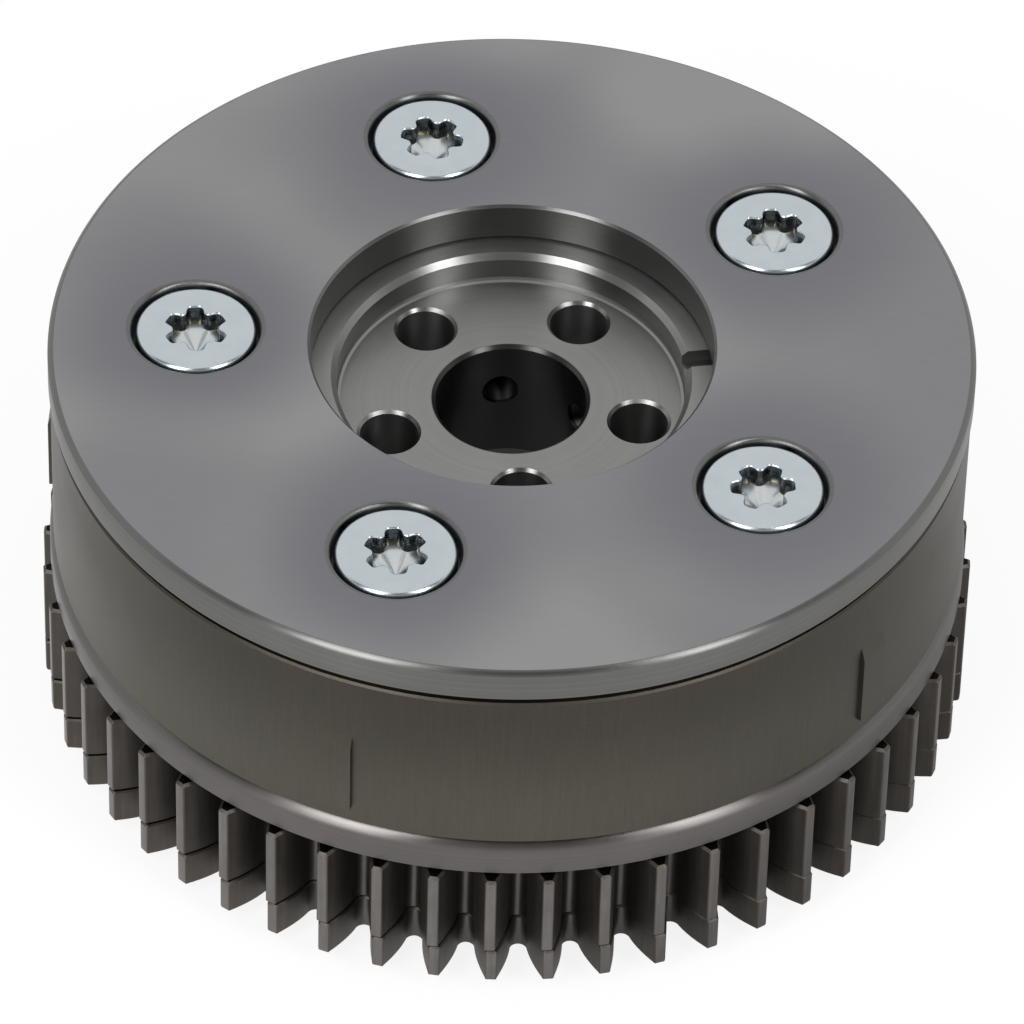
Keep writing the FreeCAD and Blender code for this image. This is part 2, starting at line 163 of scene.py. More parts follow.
screw = {
    "circle": 36.2, "phase": 34.1, "step": 72.0, "count": 5,
    "socketTurns": (37.0, 50.0, 34.0, 37.0, 6.0),
    "headTop": 51.0, "headHeight": 3.4, "headRadius": 6.95, "headRound": 0.8, "seatEdge": 0.35,
    "lobeTip": 3.6, "lobeValley": 2.6, "lobeHalf": (9.0, 26.0),    # degrees: full lobe, and its foot
    "leadIn": 0.22, "socketDepth": 2.7, "socketCorner": 0.15, "drillPoint": 1.4,
    "shank": 4.0, "neck": 0.7, "thread": 3.4, "threadDepth": 0.45, "threadPitch": 1.0,
    "threadTop": 23.3, "threadEnd": 13.8, "point": 0.7, "columns": 120,
    "middle": 0.05,    # the rings shrink to this radius at both ends
}


# the gears: one outline for both, with rounded roots and fine tip edges

teeth = {
    "count": 52,
    "module": 2.0,
    "pressureAngle": 20.0,
    "tipRadius": 54.1,
    "rootRadius": 48.45,
    "rootRound": 1.05,      # the root is one full round, this high
    "thinning": 0.3,
    "tipEdge": 0.3,
    "phase": -90.8,
    "subShift": 0.24,       # the sub gear is turned on by this much
}


def involute(angle):
    return math.tan(angle) - angle


def halfTooth(radius):
    pressure = math.radians(teeth["pressureAngle"])
    pitchRadius = teeth["module"] * teeth["count"] / 2
    baseRadius = pitchRadius * math.cos(pressure)
    atPitch = (math.pi * teeth["module"] / 2 - teeth["thinning"]) / pitchRadius / 2
    return atPitch + involute(pressure) - involute(math.acos(min(1.0, baseRadius / radius)))


def toothOutline(phase):
    # (turn, radius) pairs once round the gear, the turn always growing
    flankLow = teeth["rootRadius"] + teeth["rootRound"]
    flankHigh = teeth["tipRadius"] - teeth["tipEdge"]
    pitch = 2 * math.pi / teeth["count"]
    rootWidth = pitch / 2 - halfTooth(flankLow)
    flankSteps = 6
    rootSteps = 6
    edgeSteps = 4
    rise = []
    for step in range(rootSteps):
        bend = math.pi / 2 * (1 - (step + 0.5) / rootSteps)
        turn = -halfTooth(flankLow) - rootWidth * (1 - math.cos(bend))
        rise.append((turn, flankLow - teeth["rootRound"] * math.sin(bend)))
    for step in range(flankSteps + 1):
        radius = flankLow + (flankHigh - flankLow) * step / flankSteps
        rise.append((-halfTooth(radius), radius))
    for step in range(1, edgeSteps + 1):
        bend = math.pi / 2 * step / edgeSteps
        turn = -halfTooth(flankHigh) + teeth["tipEdge"] * (1 - math.cos(bend)) / flankHigh
        rise.append((turn, flankHigh + teeth["tipEdge"] * math.sin(bend)))
    tooth = rise + [(-turn, radius) for turn, radius in reversed(rise)]
    start = math.radians(phase)
    return [(start + pitch * k + turn, radius) for k in range(teeth["count"]) for turn, radius in tooth]


def toothRing(outline, height, inset, limit=math.inf):
    # the outline at one height, moved inward by the inset and held inside a radius
    flat = [Vector((r * math.cos(t), r * math.sin(t))) for t, r in outline]
    ring = []
    for k, point in enumerate(flat):
        along = flat[(k + 1) % len(flat)] - flat[k - 1]
        inward = Vector((-along.y, along.x)).normalized()
        moved = point + inward * inset
        if moved.length > limit:
            moved *= limit / moved.length
        ring.append(Vector((moved.x, moved.y, height)) * mm)
    return ring


def roundRing(outline, radius, height):
    return [polar(radius, turn, height) for turn, _ in outline]


driveGear = {
    "bottom": 7.3, "top": 18.7, "endEdge": 0.22, "topEdge": 0.3,
    "neck": 47.95, "flangeLow": 19.2, "flange": 53.2, "flangeEdge": 0.25, "chamfer": 1.2, "chamferSoft": 0.3,
    "plate": 23.9, "journal": 19.0, "relief": 23.0, "reliefDepth": 5.0, "edge": 0.8,
    "hub": 30.0, "groove": (36.125, 42.325, 11.6), "snapGroove": (28.425, 0.91, 2.19),
    "tap": 3.45, "tapEnd": 12.6, "tapChamfer": 0.6,
    # radius, low, high, circle and angle of the bores for the lock bush, main gear pin and dowel
    "bores": ((5.5, 19.9, 24.9, 34.5, 9.5), (2.0, 10.6, 16.6, 39.225, 97.0), (2.0, 19.1, 24.9, 41.1, 42.1)),
}
subGear = {
    "bottom": 2.4, "top": 7.2, "bore": 30.04, "web": 43.6, "webDepth": 0.9,
    "corner": 0.5, "endEdge": 0.2,
    "pinHole": (2.0, 39.225, 83.0),              # radius, circle, angle
    "slot": (37.025, 41.425, 94.01, 100.98),     # two radii and two angles, for the main gear's pin
}


def buildDriveGear():
    g = driveGear
    outline = toothOutline(teeth["phase"])
    edge = g["edge"]
    inner, outer, grooveTop = g["groove"]
    snapRadius, snapLow, snapHigh = g["snapGroove"]
    soft = g["chamferSoft"]
    below = [
        (g["journal"], edge + g["reliefDepth"]), (g["journal"] + edge, g["reliefDepth"]),
        (g["relief"], g["reliefDepth"]), (g["relief"], edge), (g["relief"] + edge, 0),
        (g["hub"] - edge, 0), (g["hub"], edge), (g["hub"], snapLow), (snapRadius, snapLow),
        (snapRadius, snapHigh), (g["hub"], snapHigh), (g["hub"], g["bottom"]), (inner, g["bottom"]),
        (inner, grooveTop), (outer, grooveTop), (outer, g["bottom"]),
    ]
    above = [
        (g["neck"], g["top"]), (g["neck"], g["flangeLow"]), (g["flange"] - g["flangeEdge"], g["flangeLow"]),
        (g["flange"], g["flangeLow"] + g["flangeEdge"]), (g["flange"], g["plate"] - g["chamfer"] - soft),
        (g["flange"] - soft / 2, g["plate"] - g["chamfer"] + soft / 2),
        (g["flange"] - g["chamfer"] + soft / 2, g["plate"] - soft / 2),
        (g["flange"] - g["chamfer"] - soft, g["plate"]), (g["journal"], g["plate"]),
    ]
    rings = [roundRing(outline, r, z) for r, z in below]
    for height, inset in ((g["bottom"], g["endEdge"]), (g["bottom"] + g["endEdge"], 0),
                          (g["top"] - g["topEdge"], 0), (g["top"], g["topEdge"])):
        rings.append(toothRing(outline, height, inset))
    rings += [roundRing(outline, r, z) for r, z in above]
    made = meshFromRings("driveGear", rings, True)
    mouth = g["tap"] + g["tapChamfer"]
    tapped = [(g["tap"], g["tapEnd"]), (g["tap"], g["plate"] - g["tapChamfer"]), (mouth, g["plate"]),
              (mouth, g["plate"] + 1)]
    cutters = [turnedRod(tapped, screw["circle"], screw["phase"] + screw["step"] * k)
               for k in range(screw["count"])]
    for radius, low, high, circle, degrees in g["bores"]:
        cutters.append(turnedRod([(radius, low), (radius, high)], circle, degrees))
    cutAway(made, cutters)
    return made


def buildSubGear():
    g = subGear
    outline = toothOutline(teeth["phase"] + teeth["subShift"])
    webBottom = g["bottom"] + g["webDepth"]
    rings = [roundRing(outline, g["bore"], g["top"]), roundRing(outline, g["bore"], webBottom),
             roundRing(outline, g["web"], webBottom), roundRing(outline, g["web"], g["bottom"])]
    cornerSteps = 5
    for step in range(cornerSteps + 1):
        bend = math.pi / 2 * step / cornerSteps
        limit = teeth["tipRadius"] - g["corner"] * (1 - math.sin(bend))
        height = g["bottom"] + g["corner"] * (1 - math.cos(bend))
        inset = teeth["tipEdge"] * (1 - math.sin(bend))
        rings.append(toothRing(outline, height, inset, limit))
    rings.append(toothRing(outline, g["top"] - g["endEdge"], 0))
    rings.append(toothRing(outline, g["top"], g["endEdge"]))
    made = meshFromRings("subGear", rings, True)
    radius, circle, degrees = g["pinHole"]
    pinHole = turnedRod([(radius, g["bottom"] - 1), (radius, g["top"] + 1)], circle, degrees)
    inner, outer, first, last = g["slot"]
    slotSteps = 8
    turns = [math.radians(first + (last - first) * k / slotSteps) for k in range(slotSteps + 1)]
    edge = [(outer, t) for t in turns] + [(inner, t) for t in reversed(turns)]
    slotRings = [[polar(r, t, z) for r, t in edge] for z in (g["bottom"] - 1, g["top"] + 1)]
    slot = meshFromRings("cutter", slotRings, False)
    closeEnds(slot)
    cutAway(made, [pinHole, slot])
    return made


# the cover screws: low heads with a six-lobe socket, its lead-in, and a rolled thread

def socketRadius(turn, widen):
    # six square-shouldered lobes with a rounded bulge between each two
    full, foot = screw["lobeHalf"]
    aside = abs((math.degrees(turn) + 30) % 60 - 30)
    fall = min(1.0, max(0.0, (aside - full) / (foot - full)))
    wave = (1 + math.cos(math.pi * fall)) / 2
    return screw["lobeValley"] + (screw["lobeTip"] - screw["lobeValley"]) * wave + widen


def buildScrew(number):
    s = screw
    turns = [2 * math.pi * k / s["columns"] for k in range(s["columns"])]
    top = s["headTop"]
    floor = top - s["socketDepth"]
    rings = [[polar(s["middle"], t, floor - s["drillPoint"]) for t in turns]]
    rings.append([polar(s["lobeValley"] * 0.9, t, floor) for t in turns])
    rings.append([polar(socketRadius(t, 0), t, floor + s["socketCorner"]) for t in turns])
    rings.append([polar(socketRadius(t, 0), t, top - s["leadIn"]) for t in turns])
    rings.append([polar(socketRadius(t, 0.4 * s["leadIn"]), t, top - 0.35 * s["leadIn"]) for t in turns])
    rings.append([polar(socketRadius(t, s["leadIn"]), t, top) for t in turns])
    roundSteps = 6
    for step in range(roundSteps + 1):
        bend = math.pi / 2 * step / roundSteps
        radius = s["headRadius"] - s["headRound"] * (1 - math.sin(bend))
        height = top - s["headRound"] * (1 - math.cos(bend))
        rings.append([polar(radius, t, height) for t in turns])
    seat = top - s["headHeight"]
    below = [(s["headRadius"], seat + s["seatEdge"]), (s["headRadius"] - s["seatEdge"], seat),
             (s["shank"], seat), (s["shank"], s["threadTop"] + s["neck"]), (s["thread"], s["threadTop"])]
    for radius, height in below:
        rings.append([polar(radius, t, height) for t in turns])
    rowHeight = s["threadPitch"] / 8
    height = s["threadTop"] - rowHeight
    while height > s["threadEnd"] + s["point"]:
        fade = min(1.0, (s["threadTop"] - height) / s["threadPitch"])
        row = []
        for t in turns:
            along = (height / s["threadPitch"] - t / (2 * math.pi)) % 1.0
            cut = s["threadDepth"] * fade * (1 - abs(2 * along - 1))
            row.append(polar(s["thread"] - cut, t, height))
        rings.append(row)
        height -= rowHeight
    rings.append([polar(s["thread"] - s["point"], t, s["threadEnd"]) for t in turns])
    rings.append([polar(s["middle"], t, s["threadEnd"]) for t in turns])
    made = meshFromRings("coverScrew%d" % (number + 1), rings, False)
    angle = math.radians(s["phase"] + s["step"] * number)
    turn = Matrix.Rotation(math.radians(s["socketTurns"][number]), 4, "Z")
    made.data.transform(Matrix.Translation(polar(s["circle"], angle, 0)) @ turn)
    return made


# the front cover: turned disc, then the five counterbored holes are cut through it

cover = {
    "low": 46.1, "top": 51.1, "radius": 53.0, "topEdge": 0.55, "topSoft": 0.12,
    "seamHeight": 0.95, "seamDepth": 1.0, "seamEdge": 0.1, "bore": 23.1, "boreEdge": 0.3,
    "seat": 47.6, "counterbore": 7.4, "lip": 0.6, "hole": 4.5, "columns": 360,
}


def buildCover():
    c = cover
    spin = [2 * math.pi * k / c["columns"] for k in range(c["columns"])]
    mouth = c["bore"] + c["boreEdge"]
    neck = c["radius"] - c["seamDepth"]
    seamTop = c["low"] + c["seamHeight"]
    profile = [
        (mouth, c["low"]), (neck, c["low"]), (neck, seamTop), (c["radius"] - c["seamEdge"], seamTop),
        (c["radius"], seamTop + c["seamEdge"]), (c["radius"], c["top"] - c["topEdge"] - c["topSoft"]),
        (c["radius"] - c["topSoft"] / 2, c["top"] - c["topEdge"] + c["topSoft"] / 2),
        (c["radius"] - c["topEdge"] + c["topSoft"] / 2, c["top"] - c["topSoft"] / 2),
        (c["radius"] - c["topEdge"] - c["topSoft"], c["top"]), (mouth, c["top"]),
        (c["bore"], c["top"] - c["boreEdge"]), (c["bore"], c["low"] + c["boreEdge"]),
    ]
    made = meshFromRings("frontCover", [[polar(r, t, z) for t in spin] for r, z in profile], True)
    lipSteps = 5
    hole = [(c["hole"], c["low"] - 1), (c["hole"], c["seat"]), (c["counterbore"], c["seat"])]
    for step in range(lipSteps + 1):
        bend = math.pi / 2 * step / lipSteps
        hole.append((c["counterbore"] + c["lip"] * (1 - math.cos(bend)),
                     c["top"] - c["lip"] * (1 - math.sin(bend))))
    hole.append((c["counterbore"] + c["lip"], c["top"] + 1))
    cutAway(made, [turnedRod(hole, screw["circle"], screw["phase"] + screw["step"] * k, 96)
                   for k in range(screw["count"])])
    return made


# materials

def surfacePlace(tree):
    # where a point lies on the part, and which way its surface faces
    place = addNode(tree, "TexCoord")
    split = addNode(tree, "SeparateXYZ", links={0: place.outputs["Object"]})
    flat = addNode(tree, "VectorMath", {1: (1, 1, 0)}, {0: place.outputs["Object"]}, operation="MULTIPLY")
    radius = addNode(tree, "VectorMath", {}, {0: flat.outputs[0]}, operation="LENGTH")
    outward = addNode(tree, "VectorMath", {}, {0: flat.outputs[0]}, operation="NORMALIZE")
    radial = addNode(tree, "VectorMath", {}, {0: outward.outputs[0], 1: place.outputs["Normal"]},
                     operation="DOT_PRODUCT")
    facing = addNode(tree, "SeparateXYZ", links={0: place.outputs["Normal"]})
    return {"point": place.outputs["Object"], "x": split.outputs["X"], "y": split.outputs["Y"],
            "height": split.outputs["Z"], "radius": radius.outputs["Value"],
            "radial": radial.outputs["Value"], "up": facing.outputs["Z"]}


def toolLines(tree, at, spacing):
    # marks that run round the axis, as a lathe tool leaves them
    lineAt = addNode(tree, "CombineXYZ", links={0: at["radius"], 1: at["height"]})
    return addNode(tree, "TexNoise", {"Scale": 1 / (spacing * mm), "Detail": 2},
                   {"Vector": lineAt.outputs[0]})


def nearestHole(tree, at, circle, phase, count):
    # distance from the nearest of the holes spaced round a circle
    turn = addNode(tree, "Math", {}, {0: at["y"], 1: at["x"]}, operation="ARCTAN2")
    offset = addNode(tree, "Math", {1: math.radians(phase)}, {0: turn.outputs[0]}, operation="SUBTRACT")
    folded = addNode(tree, "Math", {1: math.pi / count, 2: -math.pi / count}, {0: offset.outputs[0]},
                     operation="WRAP")
    along = addNode(tree, "Math", {}, {0: folded.outputs[0]}, operation="COSINE")
    across = addNode(tree, "Math", {}, {0: folded.outputs[0]}, operation="SINE")
    x = addNode(tree, "Math", {2: -circle * mm}, {0: along.outputs[0], 1: at["radius"]},
                operation="MULTIPLY_ADD")
    y = addNode(tree, "Math", {}, {0: across.outputs[0], 1: at["radius"]}, operation="MULTIPLY")
    gap = addNode(tree, "CombineXYZ", links={0: x.outputs[0], 1: y.outputs[0]})
    return addNode(tree, "VectorMath", {}, {0: gap.outputs[0]}, operation="LENGTH").outputs["Value"]


coverFinish = {
    "clear": "909090", "cloud": "818183", "stain": "747378",
    "cloudSize": 34.0,            # mm
    "stainReach": (7.0, 22.0),    # mm from the middle of a screw
    "grain": (5.0, 0.2),          # mm, length and width of the scratches, drawn coarser than they are
    "edgeDark": "656564", "edgeLight": "6d6d6c", "edgeLines": 0.3,
}


def groundCoverFace():
    # Hardened steel, surface ground: an even satin grey with a very fine straight grain, soft clouds that
    # are partly tone and partly painted sheen, and a faint violet heat stain round each screw
    f = coverFinish
    made, tree = newMaterial("groundSteelCoverFace")
    at = surfacePlace(tree)
    long, wide = f["grain"]
    grainAt = addNode(tree, "Mapping", {"Scale": (1 / (long * mm), 1 / (wide * mm), 1)},
                      {"Vector": at["point"]})
    grain = addNode(tree, "TexNoise", {"Scale": 1.0, "Detail": 5, "Roughness": 0.65},
                    {"Vector": grainAt.outputs[0]})
    clouds = addNode(tree, "TexNoise", {"Scale": 1 / (f["cloudSize"] * mm), "Detail": 1.0, "Roughness": 0.5},
                     {"Vector": at["point"]})
    # soft clouds: partly tone that varies, partly painted sheen
    sheenClouds = addNode(tree, "MapRange", {"From Min": 0.36, "From Max": 0.64}, {"Value": clouds.outputs[0]},
                     interpolation_type="SMOOTHSTEP")
    body = addNode(tree, "Mix", {6: linearColour(f["cloud"]), 7: linearColour(f["clear"])},
                   {0: sheenClouds.outputs[0]}, data_type="RGBA")
    near = nearestHole(tree, at, screw["circle"], screw["phase"], screw["count"])
    inner, outer = f["stainReach"]
    stained = addNode(tree, "MapRange", {"From Min": outer * mm, "From Max": inner * mm}, {"Value": near},
                      interpolation_type="SMOOTHSTEP")
    tinted = addNode(tree, "Mix", {7: linearColour(f["stain"])}, {0: stained.outputs[0], 6: body.outputs[2]},
                     data_type="RGBA")
    shade = addNode(tree, "MapRange", {"From Min": 0.3, "From Max": 0.7, "To Min": 0.97, "To Max": 1.03},
                    {"Value": grain.outputs[0]})
    colour = addNode(tree, "VectorMath", {}, {0: tinted.outputs[2], "Scale": shade.outputs[0]},
                     operation="SCALE")
    rough = addNode(tree, "MapRange", {"From Min": 0.3, "From Max": 0.7, "To Min": 0.27, "To Max": 0.36},
                    {"Value": clouds.outputs[0]})
    bump = addNode(tree, "Bump", {"Strength": 0.12, "Distance": 0.00002}, {"Height": grain.outputs[0]})
    shader = addNode(tree, "BsdfPrincipled", {"Metallic": 1.0},
                     {"Base Color": colour.outputs[0], "Roughness": rough.outputs[0],
                      "Normal": bump.outputs[0]})
    finishMaterial(tree, shader)
    return made


def turnedSteel(name, dark, light, lineSpacing, roughness, spread, relief=0.25, shadedBore=None):
    # Lathe-turned steel: fine lines round the axis that draw each highlight out across them; inside the
    # shaded bore's radius, where there is one, the colour is darkened as painted shade
    made, tree = newMaterial(name)
    at = surfacePlace(tree)
    lines = toolLines(tree, at, lineSpacing)
    wear = addNode(tree, "TexNoise", {"Scale": 110, "Detail": 5, "Roughness": 0.6}, {"Vector": at["point"]})
    both = addNode(tree, "Mix", {0: 0.4}, {2: lines.outputs[0], 3: wear.outputs[0]}, data_type="FLOAT")
    shade = addNode(tree, "MapRange", {"From Min": 0.36, "From Max": 0.64}, {"Value": both.outputs[0]})
    colour = addNode(tree, "Mix", {6: linearColour(dark), 7: linearColour(light)}, {0: shade.outputs[0]},
                     data_type="RGBA")
    # painted shade: darkens the colour inside the bore's radius
    if shadedBore:
        boreShade = addNode(tree, "MapRange", {"From Min": (shadedBore + 0.1) * mm, "From Max": shadedBore * mm,
                                          "To Max": 0.75}, {"Value": at["radius"]})
        colour = addNode(tree, "Mix", {7: (0, 0, 0, 1)}, {0: boreShade.outputs[0], 6: colour.outputs[2]},
                         data_type="RGBA")
    rough = addNode(tree, "MapRange", {"From Min": 0.3, "From Max": 0.7, "To Min": roughness - 0.04,
                                       "To Max": roughness + 0.04}, {"Value": wear.outputs[0]})
    bump = addNode(tree, "Bump", {"Strength": relief, "Distance": 0.00001}, {"Height": lines.outputs[0]})
    grain = addNode(tree, "Tangent", direction_type="RADIAL", axis="Z")
    shader = addNode(tree, "BsdfPrincipled",
                     {"Metallic": 1.0, "Anisotropic": spread, "Anisotropic Rotation": 0.25},
                     {"Base Color": colour.outputs[2], "Roughness": rough.outputs[0],
                      "Normal": bump.outputs[0], "Tangent": grain.outputs[0]})
    finishMaterial(tree, shader)
    return made


housingFinish = {
    "low": "55524b", "high": "45423c",         # below and above on the outside wall; the darker top is painted shade under the cover
    "shadeHeights": (26.0, 45.0),                   # mm
    "grainHeight": 6.0, "grainWidth": 0.35,    # mm
    "speckle": 0.25,                           # mm, powder grains, drawn about twice their size
}


def sinteredIron():
    # Steam-treated sintered iron, sized in a die: warm brown-grey, satin, with fine upright draw marks,
    # powder speckle, and a little darker towards the cover as painted shade
    f = housingFinish
    made, tree = newMaterial("sinteredIronHousing")
    at = surfacePlace(tree)
    upright = addNode(tree, "Mapping", {"Scale": (1 / (f["grainWidth"] * mm), 1 / (f["grainWidth"] * mm),
                                                  1 / (f["grainHeight"] * mm))}, {"Vector": at["point"]})
    grain = addNode(tree, "TexNoise", {"Scale": 1.0, "Detail": 3, "Roughness": 0.55},
                    {"Vector": upright.outputs[0]})
    speckle = addNode(tree, "TexNoise", {"Scale": 1 / (f["speckle"] * mm), "Detail": 2},
                      {"Vector": at["point"]})
    clouds = addNode(tree, "TexNoise", {"Scale": 55, "Detail": 3}, {"Vector": at["point"]})
    low, high = f["shadeHeights"]
    # painted shade: the wall's colour darkens towards the cover
    rise = addNode(tree, "MapRange", {"From Min": low * mm, "From Max": high * mm}, {"Value": at["height"]},
                   interpolation_type="SMOOTHSTEP")
    body = addNode(tree, "Mix", {6: linearColour(f["low"]), 7: linearColour(f["high"])}, {0: rise.outputs[0]},
                   data_type="RGBA")
    marks = addNode(tree, "Mix", {0: 0.5}, {2: grain.outputs[0], 3: speckle.outputs[0]}, data_type="FLOAT")
    shade = addNode(tree, "MapRange", {"From Min": 0.3, "From Max": 0.7, "To Min": 0.9, "To Max": 1.1},
                    {"Value": marks.outputs[0]})
    soft = addNode(tree, "MapRange", {"From Min": 0.3, "From Max": 0.7, "To Min": 0.92, "To Max": 1.08},
                   {"Value": clouds.outputs[0]})
    both = addNode(tree, "Math", {}, {0: shade.outputs[0], 1: soft.outputs[0]}, operation="MULTIPLY")
    colour = addNode(tree, "VectorMath", {}, {0: body.outputs[2], "Scale": both.outputs[0]},
                     operation="SCALE")
    rough = addNode(tree, "MapRange", {"From Min": 0.3, "From Max": 0.7, "To Min": 0.4, "To Max": 0.5},
                    {"Value": clouds.outputs[0]})
    bump = addNode(tree, "Bump", {"Strength": 0.2, "Distance": 0.00002}, {"Height": marks.outputs[0]})
    shader = addNode(tree, "BsdfPrincipled", {"Metallic": 1.0},
                     {"Base Color": colour.outputs[0], "Roughness": rough.outputs[0],
                      "Normal": bump.outputs[0]})
    finishMaterial(tree, shader)
    return made


teethFinish = {
    "land": "6f6b69", "flank": "534f4b", "root": "5b5856", "end": "1a1918",
    "marks": (0.5, 8.0),    # mm, width and height of the upright cutter marks
}


def shavedTeeth():
    # Shaved gear steel with an oil film: dark flanks that show the cutter's upright marks and brighter tip
    # lands that were turned before the teeth were cut; the nearly black upper ends under the flange are
    # painted shade
    f = teethFinish
    made, tree = newMaterial("shavedToothSteel")
    at = surfacePlace(tree)
    outward = addNode(tree, "MapRange", {"From Min": 0.75, "From Max": 0.99}, {"Value": at["radial"]},
                      interpolation_type="SMOOTHSTEP")
    tipward = addNode(tree, "MapRange", {"From Min": 49.5 * mm, "From Max": 53.5 * mm},
                      {"Value": at["radius"]})
    outside = addNode(tree, "Mix", {6: linearColour(f["root"]), 7: linearColour(f["land"])},
                      {0: tipward.outputs[0]}, data_type="RGBA")
    body = addNode(tree, "Mix", {6: linearColour(f["flank"])}, {0: outward.outputs[0], 7: outside.outputs[2]},
                   data_type="RGBA")
    # painted shade: upward-facing ends under the flange are made nearly black
    upward = addNode(tree, "MapRange", {"From Min": 0.8, "From Max": 0.95}, {"Value": at["up"]})
    shadedEnds = addNode(tree, "Mix", {7: linearColour(f["end"])}, {0: upward.outputs[0], 6: body.outputs[2]},
                     data_type="RGBA")
    wide, tall = f["marks"]
    upright = addNode(tree, "Mapping", {"Scale": (1 / (wide * mm), 1 / (wide * mm), 1 / (tall * mm))},
                      {"Vector": at["point"]})
    marks = addNode(tree, "TexNoise", {"Scale": 1.0, "Detail": 3}, {"Vector": upright.outputs[0]})
    wear = addNode(tree, "TexNoise", {"Scale": 260, "Detail": 5, "Roughness": 0.6}, {"Vector": at["point"]})
    both = addNode(tree, "Mix", {0: 0.5}, {2: marks.outputs[0], 3: wear.outputs[0]}, data_type="FLOAT")
    shade = addNode(tree, "MapRange", {"From Min": 0.3, "From Max": 0.7, "To Min": 0.8, "To Max": 1.2},
                    {"Value": both.outputs[0]})
    colour = addNode(tree, "VectorMath", {}, {0: shadedEnds.outputs[2], "Scale": shade.outputs[0]},
                     operation="SCALE")
    rough = addNode(tree, "MapRange", {"To Min": 0.5, "To Max": 0.36}, {"Value": outward.outputs[0]})
    bump = addNode(tree, "Bump", {"Strength": 0.2, "Distance": 0.00002}, {"Height": both.outputs[0]})
    shader = addNode(tree, "BsdfPrincipled", {"Metallic": 1.0},
                     {"Base Color": colour.outputs[0], "Roughness": rough.outputs[0],
                      "Normal": bump.outputs[0]})
    finishMaterial(tree, shader)
    return made


zincFinish = {"plate": "bfc7cb", "cloud": "b3bbc0", "socket": "5d6163", "corner": "7d7458", "cone": "c4c8c9"}


def zincPlate():
    # Bright zinc, blue passivated: pale, cool and softly shiny; the socket's walls are darkened as painted
    # shade of the recess, with a yellowish trace of passivation at their foot
    f = zincFinish
    made, tree = newMaterial("zincPlatedScrew")
    at = surfacePlace(tree)
    clouds = addNode(tree, "TexNoise", {"Scale": 420, "Detail": 3}, {"Vector": at["point"]})
    plate = addNode(tree, "Mix", {6: linearColour(f["cloud"]), 7: linearColour(f["plate"])},
                    {0: clouds.outputs[0]}, data_type="RGBA")
    near = nearestHole(tree, at, screw["circle"], screw["phase"], screw["count"])
    inside = addNode(tree, "MapRange", {"From Min": (screw["lobeTip"] + 0.15) * mm,
                                        "From Max": screw["lobeTip"] * mm}, {"Value": near})
    deep = addNode(tree, "MapRange", {"From Min": (screw["headTop"] - 0.25) * mm,
                                      "From Max": (screw["headTop"] - 0.9) * mm}, {"Value": at["height"]})
    down = addNode(tree, "Math", {}, {0: inside.outputs[0], 1: deep.outputs[0]}, operation="MULTIPLY")
    floor = screw["headTop"] - screw["socketDepth"]
    foot = addNode(tree, "MapRange", {"From Min": (floor + 0.8) * mm, "From Max": floor * mm},
                   {"Value": at["height"]})
    # painted shade down the socket's walls, turning yellowish at their foot
    shadedWall = addNode(tree, "Mix", {6: linearColour(f["socket"]), 7: linearColour(f["corner"])},
                   {0: foot.outputs[0]}, data_type="RGBA")
    level = addNode(tree, "MapRange", {"From Min": 0.35, "From Max": 0.6}, {"Value": at["up"]})
    pocket = addNode(tree, "Mix", {7: linearColour(f["cone"])}, {0: level.outputs[0], 6: shadedWall.outputs[2]},
                     data_type="RGBA")
    colour = addNode(tree, "Mix", {}, {0: down.outputs[0], 6: plate.outputs[2], 7: pocket.outputs[2]},
                     data_type="RGBA")
    rough = addNode(tree, "MapRange", {"To Min": 0.2, "To Max": 0.3}, {"Value": clouds.outputs[0]})
    bump = addNode(tree, "Bump", {"Strength": 0.1, "Distance": 0.00002}, {"Height": clouds.outputs[0]})
    shader = addNode(tree, "BsdfPrincipled", {"Metallic": 1.0},
                     {"Base Color": colour.outputs[2], "Roughness": rough.outputs[0],
                      "Normal": bump.outputs[0]})
    finishMaterial(tree, shader)
    return made


def mouldedSeal():
    # Moulded engineering plastic of the tip seals: nearly black, dull, with a faint flow mottle
    made, tree = newMaterial("mouldedSealPolymer")
    at = surfacePlace(tree)
    flow = addNode(tree, "TexNoise", {"Scale": 300, "Detail": 3}, {"Vector": at["point"]})
    colour = addNode(tree, "Mix", {6: linearColour("1b1a18"), 7: linearColour("272522")},
                     {0: flow.outputs[0]}, data_type="RGBA")
    bump = addNode(tree, "Bump", {"Strength": 0.15, "Distance": 0.00003}, {"Height": flow.outputs[0]})
    shader = addNode(tree, "BsdfPrincipled", {"Roughness": 0.5, "IOR": 1.5},
                     {"Base Color": colour.outputs[2], "Normal": bump.outputs[0]})
    finishMaterial(tree, shader)
    return made


coverFace = groundCoverFace()
coverEdge = turnedSteel("turnedSteelCoverEdge", coverFinish["edgeDark"], coverFinish["edgeLight"],
                        coverFinish["edgeLines"], 0.34, 0.78)
housingIron = sinteredIron()
toothSteel = shavedTeeth()
flangeSteel = turnedSteel("turnedGearSteel", "5f5c5b", "686564", 0.35, 0.32, 0.75)
# fine-turned and nearly level: its rings show in the highlights, and its central bore is darkened as painted
# shade
rotorSteel = turnedSteel("turnedRotorSteel", "838382", "898988", 0.2, 0.32, 0.8, 0.03, 9.1)
zinc = zincPlate()
# ground pins are bright and smooth; oil-tempered spring wire is dark brown and satin
pinSteel = turnedSteel("groundPinSteel", "8f8f90", "a2a2a3", 0.2, 0.2, 0.3)
springSteel = turnedSteel("oilTemperedSpringSteel", "3f3c39", "4d4a46", 0.3, 0.35, 0.3)
sealPolymer = mouldedSeal()
print("materials made")

